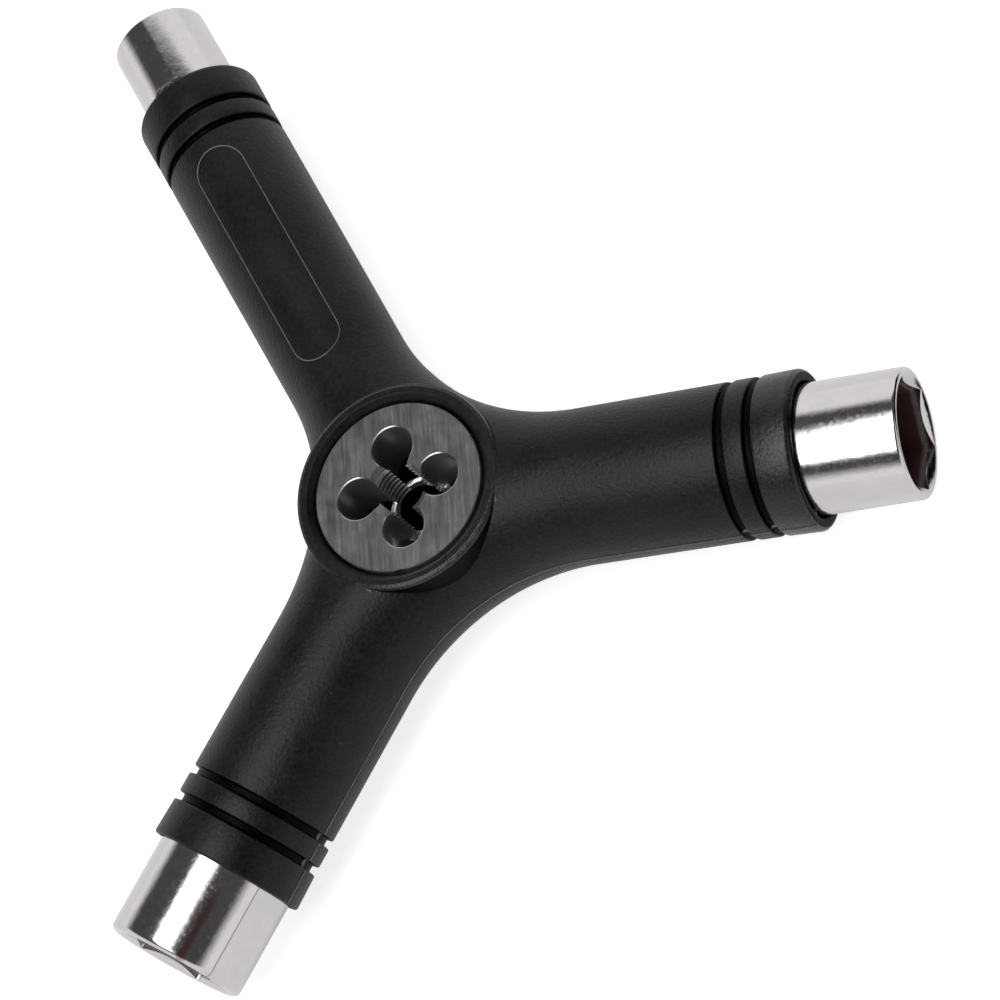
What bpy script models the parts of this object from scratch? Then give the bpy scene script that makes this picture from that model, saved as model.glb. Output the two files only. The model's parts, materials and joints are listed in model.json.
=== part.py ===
# Three-armed socket wrench with a thread-cutting die in its hub.
# Metres, +Z up. The hub axis stands upright and the three arms lie level.
# The origin is the middle of the footprint, on the surface the wrench rests on.

from collections import namedtuple
from math import cos, pi, radians, sin, tan

import bmesh
import bpy
from mathutils import Matrix, Vector

# Sizes shared by all three arms
FACETS_ROUND_ARM = 40  # a multiple of four
ARC_STEPS = 3
FILLET_STEPS = 16
ARM_GROOVE_WIDTH = 0.00130
ARM_GROOVE_DEPTH = 0.00085
ARM_BAND_WIDTH = 0.00290
COLLAR_ROUNDING = 0.00120
CORNER_FILLET_RADIUS = 0.03300
FIT_GAP = 0.00030
CUT_OVERRUN = 0.00200
MERGE_DISTANCE = 0.000001

# Sizes shared by the three steel sockets
SOCKET_EDGE_ROUNDING = 0.00045
MOUTH_MARGIN = 0.00012  # how far outside the hexagon's corners the mouth's chamfer starts
MOUTH_DEPTH_SHARE = 0.68  # chamfer depth for each unit of its width
HEX_FLOOR_STAND_OUT = 0.00170  # from the collar's end out to the hexagon's floor
HEX_TURN = radians(38.5)
HEX_SIDES = 6
BORE_RELIEF = 0.00160  # how far the round bore stays inside the hexagon's flats
BORE_FLOOR_THICKNESS = 0.00600
SEAT_DEPTH = 0.00380  # full-width part of the socket that sits inside the collar
SHANK_STEP = 0.00150
SHANK_LENGTH = 0.02300
SHANK_GROOVE_WIDTH = 0.00300
SHANK_GROOVE_DEPTH = 0.00060
SHANK_GROOVE_INSET = 0.00400
SHANK_FLAT_DEPTH = 0.00060
SHANK_FLAT_LENGTH = 0.01000

# Hub
FACETS_ROUND_HUB = 72
HUB_RADIUS = 0.01555
HUB_HALF_HEIGHT = 0.01120
HUB_EDGE_ROUNDING = 0.00055
POCKET_LIP_WIDTH = 0.00100
POCKET_LIP_DEPTH = 0.00090
SHOULDER_WIDTH = 0.00210
BACK_RIM_RADIUS = 0.01230
BACK_LIP_WIDTH = 0.00030
FACE_RECESS = 0.00070  # how far the die's face lies below the hub's rim

# Thread-cutting die
DIE_RADIUS = 0.01270
DIE_THICKNESS = 0.00950
DIE_EDGE_CHAMFER = 0.00012
THREAD_MAJOR_RADIUS = 0.00397
THREAD_MINOR_RADIUS = 0.00347
THREAD_PITCH = 0.001058
THREAD_FLAT_SHARE = 0.125  # flat at the thread's root, in pitches
THREAD_STEPS_PER_TURN = 32
LEAD_IN_RADIUS = 0.00470
LEAD_IN_DEPTH = 0.00100
CHIP_HOLE_COUNT = 4
CHIP_HOLE_RADIUS = 0.00315
CHIP_HOLE_PITCH_RADIUS = 0.00620
CHIP_HOLE_TURN = radians(8.5)
FACETS_ROUND_CHIP_HOLE = 32
DIMPLE_ANGLE = radians(-87.5)
DIMPLE_RADIUS = 0.00130
DIMPLE_DEPTH = 0.00090
DIMPLE_INSET = 0.00110  # from the die's face down to the dimple's middle

Arm = namedtuple(
    "Arm",
    "name angle root_radius barrel_radius barrel_length collar_start_radius "
    "collar_radius collar_length socket_radius socket_stand_out hex_across_flats",
)

# One arm for each socket size, going round the hub anticlockwise seen from above
NINE_SIXTEENTHS_ARM = Arm(
    name="nine_sixteenths_inch",
    angle=radians(0),
    root_radius=0.01110,
    barrel_radius=0.01120,
    barrel_length=0.04760,
    collar_start_radius=0.01130,
    collar_radius=0.01145,
    collar_length=0.00550,
    socket_radius=0.00930,
    socket_stand_out=0.01470,
    hex_across_flats=0.01433,
)
SEVEN_SIXTEENTHS_ARM = Arm(
    name="seven_sixteenths_inch",
    angle=radians(118),
    root_radius=0.00936,
    barrel_radius=0.00955,
    barrel_length=0.06970,
    collar_start_radius=0.00960,
    collar_radius=0.00968,
    collar_length=0.00600,
    socket_radius=0.00732,
    socket_stand_out=0.01440,
    hex_across_flats=0.01115,
)
FIVE_EIGHTHS_ARM = Arm(
    name="five_eighths_inch",
    angle=radians(238),
    root_radius=0.01110,
    barrel_radius=0.01120,
    barrel_length=0.04750,
    collar_start_radius=0.01133,
    collar_radius=0.01150,
    collar_length=0.00550,
    socket_radius=0.01022,
    socket_stand_out=0.01535,
    hex_across_flats=0.01592,
)
ARMS = (NINE_SIXTEENTHS_ARM, SEVEN_SIXTEENTHS_ARM, FIVE_EIGHTHS_ARM)

# Colours, roughness and metal value of each material
BODY_LOOK = ((0.030, 0.030, 0.031, 1), 0.55, 0)
CHROME_LOOK = ((0.80, 0.79, 0.79, 1), 0.12, 1)
DIE_LOOK = ((0.36, 0.36, 0.37, 1), 0.38, 1)


# Places worked out from the sizes
def along(arm):
    """Unit vector from the hub out along the arm."""
    return Vector((cos(arm.angle), sin(arm.angle), 0))


def across(arm):
    """Unit vector level with the arm, on its anticlockwise side."""
    return Vector((-sin(arm.angle), cos(arm.angle), 0))


def collar_end(arm):
    """Distance from the hub axis to the end of the arm's collar."""
    return arm.barrel_length + 2 * ARM_GROOVE_WIDTH + ARM_BAND_WIDTH + arm.collar_length


def socket_reach(arm):
    """Distance from the hub axis to the end of the arm's socket."""
    return collar_end(arm) + arm.socket_stand_out


def wall_radius(arm):
    """Radius of the bar of plastic at the bottom of the arm's grooves."""
    return arm.barrel_radius - ARM_GROOVE_DEPTH


def shank_radius(arm):
    return arm.socket_radius - SHANK_STEP


def seat_station(arm):
    """Where the socket steps down from its full width to its shank."""
    return collar_end(arm) - SEAT_DEPTH


def shank_end(arm):
    """Distance from the hub axis to the buried end of the arm's socket."""
    return seat_station(arm) - SHANK_LENGTH


def footprint():
    """Low and high corners of the three arms' ends, seen from above."""
    xs = []
    ys = []
    for arm in ARMS:
        tip = along(arm) * socket_reach(arm)
        side = across(arm) * arm.socket_radius
        xs += [tip.x - abs(side.x), tip.x + abs(side.x)]
        ys += [tip.y - abs(side.y), tip.y + abs(side.y)]
    return (min(xs), min(ys)), (max(xs), max(ys))


LOW_CORNER, HIGH_CORNER = footprint()
REST_HEIGHT = max([arm.collar_radius for arm in ARMS] + [HUB_HALF_HEIGHT])
HUB_PLACE = Vector(
    (-(LOW_CORNER[0] + HIGH_CORNER[0]) / 2, -(LOW_CORNER[1] + HIGH_CORNER[1]) / 2, REST_HEIGHT)
)
DIE_FACE = HUB_HALF_HEIGHT - FACE_RECESS
DIE_BACK = DIE_FACE - DIE_THICKNESS
POCKET_RADIUS = DIE_RADIUS + FIT_GAP
POCKET_FLOOR = DIE_BACK - FIT_GAP


# Clear the scene
for old in list(bpy.data.objects):
    bpy.data.objects.remove(old, do_unlink=True)

parts = bpy.data.collections.new("y_wrench")
cutters = bpy.data.collections.new("y_wrench_cutters")
bpy.context.scene.collection.children.link(parts)
bpy.context.scene.collection.children.link(cutters)

hub = bpy.data.objects.new("hub_centre", None)
hub.location = HUB_PLACE
parts.objects.link(hub)


# Helpers
def material(name, look):
    """A Principled material from a colour, a roughness and a metal value."""
    made = bpy.data.materials.new(name)
    made.use_nodes = True
    shader = made.node_tree.nodes["Principled BSDF"]
    shader.inputs["Base Color"].default_value = look[0]
    shader.inputs["Roughness"].default_value = look[1]
    shader.inputs["Metallic"].default_value = look[2]
    made.diffuse_color = look[0]
    return made


def arm_placement(arm):
    """Local Z runs out along the arm, local X to its side and local Y up."""
    facing = Matrix((across(arm), Vector((0, 0, 1)), along(arm))).transposed()
    return facing.to_4x4()


def add_object(name, data, home, placement=None):
    """Links an object and hangs it on the hub centre."""
    made = bpy.data.objects.new(name, data)
    home.objects.link(made)
    made.parent = hub
    if placement is not None:
        made.matrix_local = placement
    if home is cutters:
        made.hide_render = True
        made.display_type = "WIRE"
    return made


def mesh_from(bm, name):
    """Turns a bmesh into a smooth mesh with sharp edges kept."""
    bmesh.ops.recalc_face_normals(bm, faces=bm.faces)
    data = bpy.data.meshes.new(name)
    bm.to_mesh(data)
    bm.free()
    data.shade_smooth()
    data.set_sharp_from_angle(angle=radians(30))
    return data


def turned(name, profile, home, placement=None, facets=FACETS_ROUND_ARM):
    """Turns a profile of (radius, height) points round local Z, from its top end to its bottom."""
    data = bpy.data.meshes.new(name)
    points = [(radius, 0, height) for radius, height in profile]
    edges = [(i, i + 1) for i in range(len(points) - 1)]
    data.from_pydata(points, edges, [])
    made = add_object(name, data, home, placement)
    screw = made.modifiers.new("Turn", "SCREW")
    screw.axis = "Z"
    screw.angle = 2 * pi
    screw.steps = facets
    screw.render_steps = facets
    screw.use_merge_vertices = True
    screw.merge_threshold = MERGE_DISTANCE
    screw.use_smooth_shade = True
    return made


def rod(name, radius, low, high, home, placement=None, sides=FACETS_ROUND_ARM, turn=0, place=(0, 0)):
    """A straight bar along local Z between two heights."""
    bm = bmesh.new()
    bmesh.ops.create_cone(
        bm, cap_ends=True, segments=sides, radius1=radius, radius2=radius, depth=high - low
    )
    # the first corner of a cone stands on local +Y, so it is turned back to local +X
    spin = Matrix.Rotation(turn - pi / 2, 4, "Z")
    shift = Matrix.Translation((place[0], place[1], (low + high) / 2))
    bmesh.ops.transform(bm, matrix=shift @ spin, verts=bm.verts)
    return add_object(name, mesh_from(bm, name), home, placement)


def block(name, size, centre, home, placement=None):
    """A box of a given size round a given centre."""
    bm = bmesh.new()
    bmesh.ops.create_cube(bm, size=1)
    scale = Matrix.Diagonal((size[0], size[1], size[2], 1))
    bmesh.ops.transform(bm, matrix=Matrix.Translation(centre) @ scale, verts=bm.verts)
    return add_object(name, mesh_from(bm, name), home, placement)


def boolean(target, tool, operation):
    cut = target.modifiers.new(tool.name[:40], "BOOLEAN")
    cut.operation = operation
    cut.object = tool
    cut.solver = "EXACT"
    return cut


def outer_arc(radius, height, rounding):
    """Quarter circle from a top face round to a side wall, as (radius, height) points."""
    points = []
    for i in range(ARC_STEPS + 1):
        turn = pi / 2 * (1 - i / ARC_STEPS)
        points.append((radius - rounding * (1 - cos(turn)), height - rounding * (1 - sin(turn))))
    return points


# Loft of the hub web and the three barrels
def fillet_between(first, second):
    """Centre of the level fillet between two neighbouring arms."""
    away_first = first.root_radius + CORNER_FILLET_RADIUS
    away_second = second.root_radius + CORNER_FILLET_RADIUS
    apart = (second.angle - first.angle) % (2 * pi)
    # the centre lies away_first to the side of one axis and away_second to the side of the other
    station = (away_second + away_first * cos(apart)) / sin(apart)
    return along(first) * station + across(first) * away_first


def half_ring(centre, outward, radius):
    """Half circle from the top, round the outward side, to the bottom."""
    steps = FACETS_ROUND_ARM // 2
    ring = []
    for i in range(steps + 1):
        lift = pi / 2 - pi * i / steps
        ring.append(centre + outward * (radius * cos(lift)) + Vector((0, 0, radius * sin(lift))))
    return ring


def tangent_stations(arm, before, after):
    """Where the fillets on the two sides of an arm start, as distances along it."""
    left = fillet_between(arm, after).dot(along(arm))
    right = fillet_between(before, arm).dot(along(arm))
    return left, right


def side_sections(index):
    """Half rings from one arm's end, along the fillet, to the next arm's end."""
    arm = ARMS[index]
    before = ARMS[index - 1]
    after = ARMS[(index + 1) % len(ARMS)]
    beyond = ARMS[(index + 2) % len(ARMS)]
    centre = fillet_between(arm, after)
    left, right = tangent_stations(arm, before, after)
    root = max(left, right)
    sections = [half_ring(along(arm) * arm.barrel_length, across(arm), arm.barrel_radius)]
    if root - left > MERGE_DISTANCE:
        sections.append(half_ring(along(arm) * root, across(arm), arm.root_radius))
    start = arm.angle - pi / 2
    sweep = pi - (after.angle - arm.angle) % (2 * pi)
    for step in range(FILLET_STEPS + 1):
        part_way = step / FILLET_STEPS
        ease = part_way * part_way * (3 - 2 * part_way)
        radius = arm.root_radius + (after.root_radius - arm.root_radius) * ease
        heading = start - sweep * part_way
        inward = Vector((cos(heading), sin(heading), 0))
        sections.append(
            half_ring(centre + inward * (CORNER_FILLET_RADIUS + radius), -inward, radius)
        )
    left, right = tangent_stations(after, arm, beyond)
    root = max(left, right)
    if root - right > MERGE_DISTANCE:
        sections.append(half_ring(along(after) * root, -across(after), after.root_radius))
    sections.append(half_ring(along(after) * after.barrel_length, -across(after), after.barrel_radius))
    return sections


def web_and_barrels(name, home):
    """The body between the arms' first grooves, as one closed loft."""
    bm = bmesh.new()
    for index in range(len(ARMS)):
        rows = [[bm.verts.new(point) for point in ring] for ring in side_sections(index)]
        for one, two in zip(rows, rows[1:]):
            for i in range(len(one) - 1):
                bm.faces.new((one[i], one[i + 1], two[i + 1], two[i]))
    bmesh.ops.remove_doubles(bm, verts=bm.verts, dist=MERGE_DISTANCE)
    bmesh.ops.holes_fill(bm, edges=bm.edges, sides=0)
    return add_object(name, mesh_from(bm, name), home)


def arm_end_profile(arm):
    """Grooves, band and collar of one arm, from its outer end inwards."""
    end = collar_end(arm)
    collar = end - arm.collar_length
    band_top = collar - ARM_GROOVE_WIDTH
    band_low = band_top - ARM_BAND_WIDTH
    floor = wall_radius(arm)
    band = (arm.barrel_radius + arm.collar_start_radius) / 2
    return [
        (0, end),
        *outer_arc(arm.collar_radius, end, COLLAR_ROUNDING),
        (arm.collar_start_radius, collar),
        (floor, collar),
        (floor, band_top),
        (band, band_top),
        (band, band_low),
        (floor, band_low),
        (floor, arm.barrel_length - CUT_OVERRUN),
        (0, arm.barrel_length - CUT_OVERRUN),
    ]


def shank_profile(arm, grow, top):
    """Seat, shank and retaining groove of a socket, or of its hollow when grown by a clearance."""
    step = seat_station(arm)
    inner = shank_end(arm)
    narrow = shank_radius(arm) + grow
    groove_low = inner + SHANK_GROOVE_INSET + grow
    groove_high = inner + SHANK_GROOVE_INSET + SHANK_GROOVE_WIDTH - grow
    return top + [
        (arm.socket_radius + grow, step - grow),
        (narrow, step - grow),
        (narrow, groove_high),
        (narrow - SHANK_GROOVE_DEPTH, groove_high),
        (narrow - SHANK_GROOVE_DEPTH, groove_low),
        (narrow, groove_low),
        (narrow, inner - grow),
        (0, inner - grow),
    ]


def shank_flats(arm, grow, owner):
    """Two blocks that leave flats on the shank, so that it can't turn in the plastic."""
    flat = shank_radius(arm) - SHANK_FLAT_DEPTH + grow
    high = seat_station(arm) - SHANK_STEP - grow
    length = SHANK_FLAT_LENGTH - 2 * grow
    width = 2 * arm.socket_radius
    thick = SHANK_FLAT_DEPTH + CUT_OVERRUN
    blocks = []
    for side, word in ((1, "upper"), (-1, "lower")):
        blocks.append(
            block(
                owner + "_" + word + "_flat",
                (width, thick, length),
                (0, side * (flat + thick / 2), high - length / 2),
                cutters,
                arm_placement(arm),
            )
        )
    return blocks


# Handle body
body_material = material("moulded_black_plastic", BODY_LOOK)
handle = web_and_barrels("handle_body", parts)
handle.data.materials.append(body_material)
for arm in ARMS:
    boolean(
        handle,
        turned(arm.name + "_arm_end", arm_end_profile(arm), cutters, arm_placement(arm)),
        "UNION",
    )

rim_arc = outer_arc(HUB_RADIUS, HUB_HALF_HEIGHT, HUB_EDGE_ROUNDING)
back_arc = outer_arc(BACK_RIM_RADIUS, HUB_HALF_HEIGHT, HUB_EDGE_ROUNDING)
hub_profile = [(0, HUB_HALF_HEIGHT), *rim_arc, (HUB_RADIUS, 0), (BACK_RIM_RADIUS, 0)]
hub_profile += [(radius, -height) for radius, height in reversed(back_arc)]
hub_profile += [(0, -HUB_HALF_HEIGHT)]
boolean(
    handle, turned("hub_ring_solid", hub_profile, cutters, facets=FACETS_ROUND_HUB), "UNION"
)

clear_top = HUB_HALF_HEIGHT + CUT_OVERRUN
back_bore = POCKET_RADIUS - SHOULDER_WIDTH
pocket_profile = [
    (0, clear_top),
    (POCKET_RADIUS + POCKET_LIP_WIDTH, clear_top),
    (POCKET_RADIUS + POCKET_LIP_WIDTH, HUB_HALF_HEIGHT),
    (POCKET_RADIUS, HUB_HALF_HEIGHT - POCKET_LIP_DEPTH),
    (POCKET_RADIUS, POCKET_FLOOR),
    (back_bore, POCKET_FLOOR),
    (back_bore, BACK_LIP_WIDTH - HUB_HALF_HEIGHT),
    (back_bore + BACK_LIP_WIDTH, -HUB_HALF_HEIGHT),
    (back_bore + BACK_LIP_WIDTH, -clear_top),
    (0, -clear_top),
]
boolean(
    handle, turned("die_pocket", pocket_profile, cutters, facets=FACETS_ROUND_HUB), "DIFFERENCE"
)

for arm in ARMS:
    mouth = collar_end(arm) + CUT_OVERRUN
    wide = arm.socket_radius + FIT_GAP
    hollow_name = arm.name + "_socket_seat"
    hollow = turned(
        hollow_name,
        shank_profile(arm, FIT_GAP, [(0, mouth), (wide, mouth)]),
        cutters,
        arm_placement(arm),
    )
    for flat_block in shank_flats(arm, FIT_GAP, hollow_name):
        boolean(hollow, flat_block, "DIFFERENCE")
    boolean(handle, hollow, "DIFFERENCE")


# Steel sockets
def socket(arm):
    """One chromed socket, with its mouth, hexagon, bore and the shank moulded into the arm."""
    reach = socket_reach(arm)
    name = arm.name + "_socket"
    rim = outer_arc(arm.socket_radius, reach, SOCKET_EDGE_ROUNDING)
    made = turned(name, shank_profile(arm, 0, [(0, reach), *rim]), parts, arm_placement(arm))
    made.data.materials.append(material(arm.name + "_chrome", CHROME_LOOK))
    for flat_block in shank_flats(arm, 0, name):
        boolean(made, flat_block, "DIFFERENCE")

    corner_radius = arm.hex_across_flats / 2 / cos(pi / HEX_SIDES)
    mouth_radius = corner_radius + MOUTH_MARGIN
    bore_radius = arm.hex_across_flats / 2 - BORE_RELIEF
    mouth_depth = (mouth_radius - bore_radius) * MOUTH_DEPTH_SHARE
    bore_floor = shank_end(arm) + BORE_FLOOR_THICKNESS
    beyond = reach + CUT_OVERRUN
    bore_profile = [
        (0, beyond),
        (mouth_radius, beyond),
        (mouth_radius, reach),
        (bore_radius, reach - mouth_depth),
        (bore_radius, bore_floor),
        (0, bore_floor),
    ]
    boolean(
        made, turned(name + "_bore", bore_profile, cutters, arm_placement(arm)), "DIFFERENCE"
    )
    chamfer_end = reach - MOUTH_MARGIN * MOUTH_DEPTH_SHARE / 2
    hexagon = rod(
        name + "_hexagon",
        corner_radius,
        collar_end(arm) + HEX_FLOOR_STAND_OUT,
        chamfer_end,
        cutters,
        arm_placement(arm),
        sides=HEX_SIDES,
        turn=HEX_TURN,
    )
    boolean(made, hexagon, "DIFFERENCE")
    return made


for arm in ARMS:
    socket(arm)


# Thread-cutting die
def thread_ridge(name):
    """Triangular ridge wound in a helix, which cuts the thread into the die's bore."""
    root_flat = THREAD_PITCH * THREAD_FLAT_SHARE
    height = THREAD_MAJOR_RADIUS - THREAD_MINOR_RADIUS
    inside = height / 2
    base = root_flat + 2 * (height + inside) * tan(radians(30))
    section = bpy.data.curves.new(name + "_section", "CURVE")
    section.dimensions = "2D"
    line = section.splines.new("POLY")
    corners = (
        (-inside, -base / 2),
        (height, -root_flat / 2),
        (height, root_flat / 2),
        (-inside, base / 2),
    )
    line.points.add(len(corners) - 1)
    for point, corner in zip(line.points, corners):
        point.co = (corner[0], corner[1], 0, 1)
    line.use_cyclic_u = True
    section_object = add_object(name + "_section", section, cutters)

    turns = int(DIE_THICKNESS / THREAD_PITCH) + 3
    count = turns * THREAD_STEPS_PER_TURN
    helix = bpy.data.curves.new(name + "_path", "CURVE")
    helix.dimensions = "3D"
    helix.twist_mode = "Z_UP"
    path = helix.splines.new("POLY")
    path.points.add(count)
    lowest = DIE_BACK - THREAD_PITCH
    for i, point in enumerate(path.points):
        # each section stands over the middle of one of the bore's facets
        turn = pi * (2 * i + 1) / THREAD_STEPS_PER_TURN
        rise = THREAD_PITCH * i / THREAD_STEPS_PER_TURN
        point.co = (
            THREAD_MINOR_RADIUS * cos(turn),
            THREAD_MINOR_RADIUS * sin(turn),
            lowest + rise,
            1,
        )
    helix.bevel_mode = "OBJECT"
    helix.bevel_object = section_object
    helix.use_fill_caps = True
    path_object = add_object(name + "_path", helix, cutters)
    bpy.context.view_layer.update()
    graph = bpy.context.evaluated_depsgraph_get()
    solid = bpy.data.meshes.new_from_object(path_object.evaluated_get(graph))
    bm = bmesh.new()
    bm.from_mesh(solid)
    bpy.data.meshes.remove(solid)
    bmesh.ops.remove_doubles(bm, verts=bm.verts, dist=MERGE_DISTANCE)
    return add_object(name, mesh_from(bm, name), cutters)


die_profile = [
    (0, DIE_FACE),
    (DIE_RADIUS - DIE_EDGE_CHAMFER, DIE_FACE),
    (DIE_RADIUS, DIE_FACE - DIE_EDGE_CHAMFER),
    (DIE_RADIUS, DIE_BACK + DIE_EDGE_CHAMFER),
    (DIE_RADIUS - DIE_EDGE_CHAMFER, DIE_BACK),
    (0, DIE_BACK),
]
die = turned("threading_die", die_profile, parts, facets=FACETS_ROUND_HUB)
die.data.materials.append(material("ground_steel", DIE_LOOK))

above = DIE_FACE + CUT_OVERRUN
below = DIE_BACK - CUT_OVERRUN
bore_profile = [
    (0, above),
    (LEAD_IN_RADIUS, above),
    (LEAD_IN_RADIUS, DIE_FACE),
    (THREAD_MINOR_RADIUS, DIE_FACE - LEAD_IN_DEPTH),
    (THREAD_MINOR_RADIUS, DIE_BACK + LEAD_IN_DEPTH),
    (LEAD_IN_RADIUS, DIE_BACK),
    (LEAD_IN_RADIUS, below),
    (0, below),
]
boolean(
    die,
    turned("die_bore", bore_profile, cutters, facets=THREAD_STEPS_PER_TURN),
    "DIFFERENCE",
)
boolean(die, thread_ridge("die_thread"), "DIFFERENCE")
for index in range(CHIP_HOLE_COUNT):
    turn = CHIP_HOLE_TURN + 2 * pi * index / CHIP_HOLE_COUNT
    hole = rod(
        "chip_hole_" + str(index + 1),
        CHIP_HOLE_RADIUS,
        below,
        above,
        cutters,
        sides=FACETS_ROUND_CHIP_HOLE,
        place=(CHIP_HOLE_PITCH_RADIUS * cos(turn), CHIP_HOLE_PITCH_RADIUS * sin(turn)),
    )
    boolean(die, hole, "DIFFERENCE")

dimple_profile = [
    (0, DIMPLE_DEPTH),
    (DIMPLE_RADIUS, 0),
    (DIMPLE_RADIUS, -CUT_OVERRUN),
    (0, -CUT_OVERRUN),
]
dimple_place = Vector((cos(DIMPLE_ANGLE), sin(DIMPLE_ANGLE), 0)) * DIE_RADIUS
dimple_place.z = DIE_FACE - DIMPLE_INSET
inward_turn = Vector((0, 0, 1)).rotation_difference(
    Vector((-cos(DIMPLE_ANGLE), -sin(DIMPLE_ANGLE), 0))
)
dimple = turned(
    "die_dimple",
    dimple_profile,
    cutters,
    Matrix.Translation(dimple_place) @ inward_turn.to_matrix().to_4x4(),
    facets=FACETS_ROUND_CHIP_HOLE,
)
boolean(die, dimple, "DIFFERENCE")
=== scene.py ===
# Looks of the Y wrench: one black moulding, three chromed sockets and a ground steel die.
# Lengths are millimetres from the hub's centre, and place() turns them into the frame's metres.

import json
import math
from collections import namedtuple

import bmesh
import bpy
import numpy as np
from mathutils import Matrix, Vector

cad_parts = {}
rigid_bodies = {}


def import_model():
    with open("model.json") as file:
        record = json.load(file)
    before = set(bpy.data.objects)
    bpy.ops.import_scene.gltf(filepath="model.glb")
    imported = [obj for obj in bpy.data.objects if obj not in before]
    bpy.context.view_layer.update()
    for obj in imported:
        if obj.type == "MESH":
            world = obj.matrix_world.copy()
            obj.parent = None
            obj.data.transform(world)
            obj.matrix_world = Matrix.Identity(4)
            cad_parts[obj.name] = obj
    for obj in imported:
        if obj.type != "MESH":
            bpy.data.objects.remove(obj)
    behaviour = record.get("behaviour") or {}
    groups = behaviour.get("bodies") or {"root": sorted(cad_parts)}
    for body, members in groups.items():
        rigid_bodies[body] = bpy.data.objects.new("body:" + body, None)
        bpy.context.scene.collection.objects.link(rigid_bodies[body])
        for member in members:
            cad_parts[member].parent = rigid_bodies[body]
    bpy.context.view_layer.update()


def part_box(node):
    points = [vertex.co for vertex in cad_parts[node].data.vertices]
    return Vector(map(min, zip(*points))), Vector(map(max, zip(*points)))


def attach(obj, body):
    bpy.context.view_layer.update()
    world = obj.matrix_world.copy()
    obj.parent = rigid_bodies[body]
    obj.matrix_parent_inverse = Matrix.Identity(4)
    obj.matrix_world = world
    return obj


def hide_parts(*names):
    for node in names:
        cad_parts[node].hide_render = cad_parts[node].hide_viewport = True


for old in list(bpy.data.objects):
    bpy.data.objects.remove(old, do_unlink=True)

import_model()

# Sizes that the solids have too
MM = 0.001
FILLET_RADIUS = 33.0
GROOVE_WIDTH = 1.30
GROOVE_DEPTH = 0.85
BAND_WIDTH = 2.90
FIT_GAP = 0.30
HUB_RADIUS = 15.55
HUB_HALF_HEIGHT = 11.20
BACK_RIM_RADIUS = 12.30
DIE_RADIUS = 12.70
DIE_THICKNESS = 9.50
DIE_FACE = 10.50
DIE_BACK = DIE_FACE - DIE_THICKNESS

# length runs from the hub axis to the first groove, and reach to the socket's end.
# lean is how far the socket's end is out of square, and end_rounding its outer edge's radius.
Arm = namedtuple(
    "Arm",
    "name angle root barrel length collar_start_radius collar_radius collar_length "
    "socket_radius reach across_flats hex_turn lean end_rounding",
    defaults=(0.0, 0.44),
)
RIGHT_ARM = Arm(
    name="nine_sixteenths_inch", angle=0, root=11.10, barrel=11.20, length=47.60,
    collar_start_radius=11.30, collar_radius=11.45, collar_length=5.5,
    socket_radius=9.30, reach=73.30, across_flats=14.33, hex_turn=38.5,
)
UPPER_ARM = Arm(
    name="seven_sixteenths_inch", angle=118, root=9.36, barrel=9.55, length=69.70,
    collar_start_radius=9.60, collar_radius=9.68, collar_length=6.0,
    socket_radius=7.32, reach=95.60, across_flats=11.15, hex_turn=12.0,
)
LOWER_ARM = Arm(
    name="five_eighths_inch", angle=238, root=11.10, barrel=11.20, length=47.50,
    collar_start_radius=11.33, collar_radius=11.50, collar_length=5.5,
    socket_radius=10.22, reach=73.85, across_flats=15.92, hex_turn=25.0,
    lean=0.056, end_rounding=0.86,
)
ARMS = (RIGHT_ARM, UPPER_ARM, LOWER_ARM)

UP = np.array([0.0, 0.0, 1.0])
die_low, die_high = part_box("threading_die")
HUB = Vector(((die_low.x + die_high.x) / 2, (die_low.y + die_high.y) / 2, die_high.z - DIE_FACE * MM))


def place(point):
    return HUB + Vector(point) * MM


def axes(arm):
    """Unit vectors along an arm and level across it."""
    a = math.radians(arm.angle)
    return np.array([math.cos(a), math.sin(a), 0.0]), np.array([-math.sin(a), math.cos(a), 0.0])


def angle_between(one, two):
    """Angle from one arm anticlockwise to another."""
    return math.radians((two.angle - one.angle) % 360)


def collar_start(arm):
    return arm.length + 2 * GROOVE_WIDTH + BAND_WIDTH


def collar_end(arm):
    return collar_start(arm) + arm.collar_length


# Mesh helpers
ROUNDING_STEPS = 4
LONGEST_TRIM = 0.48  # share of a side that one corner's rounding may take
MERGE_DISTANCE = 0.0005
SHORTEST_EDGE = 1e-8  # metres
SMOOTH_ANGLE = 28
AXIS = 0.0005  # radius that stands for a turned shape's own axis


def rounded(points):
    """A line of (x, y, rounding) corners as (x, y) points, with each rounded corner an arc."""
    out = []
    for i, (x, y, radius) in enumerate(points):
        if not radius or i in (0, len(points) - 1):
            out.append((x, y))
            continue
        corner = np.array([x, y], float)
        back = np.array(points[i - 1][:2], float) - corner
        ahead = np.array(points[i + 1][:2], float) - corner
        back_length, ahead_length = np.linalg.norm(back), np.linalg.norm(ahead)
        back, ahead = back / back_length, ahead / ahead_length
        half = math.acos(max(-1, min(1, float(back @ ahead)))) / 2
        trim = min(radius / math.tan(half), LONGEST_TRIM * back_length, LONGEST_TRIM * ahead_length)
        radius = trim * math.tan(half)
        middle = (back + ahead) / np.linalg.norm(back + ahead)
        centre = corner + middle * (radius / math.sin(half))
        first, last = corner + back * trim - centre, corner + ahead * trim - centre
        start, end = math.atan2(first[1], first[0]), math.atan2(last[1], last[0])
        sweep = (end - start + math.pi) % (2 * math.pi) - math.pi
        for k in range(ROUNDING_STEPS + 1):
            w = start + sweep * k / ROUNDING_STEPS
            out.append((centre[0] + radius * math.cos(w), centre[1] + radius * math.sin(w)))
    return out


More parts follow.
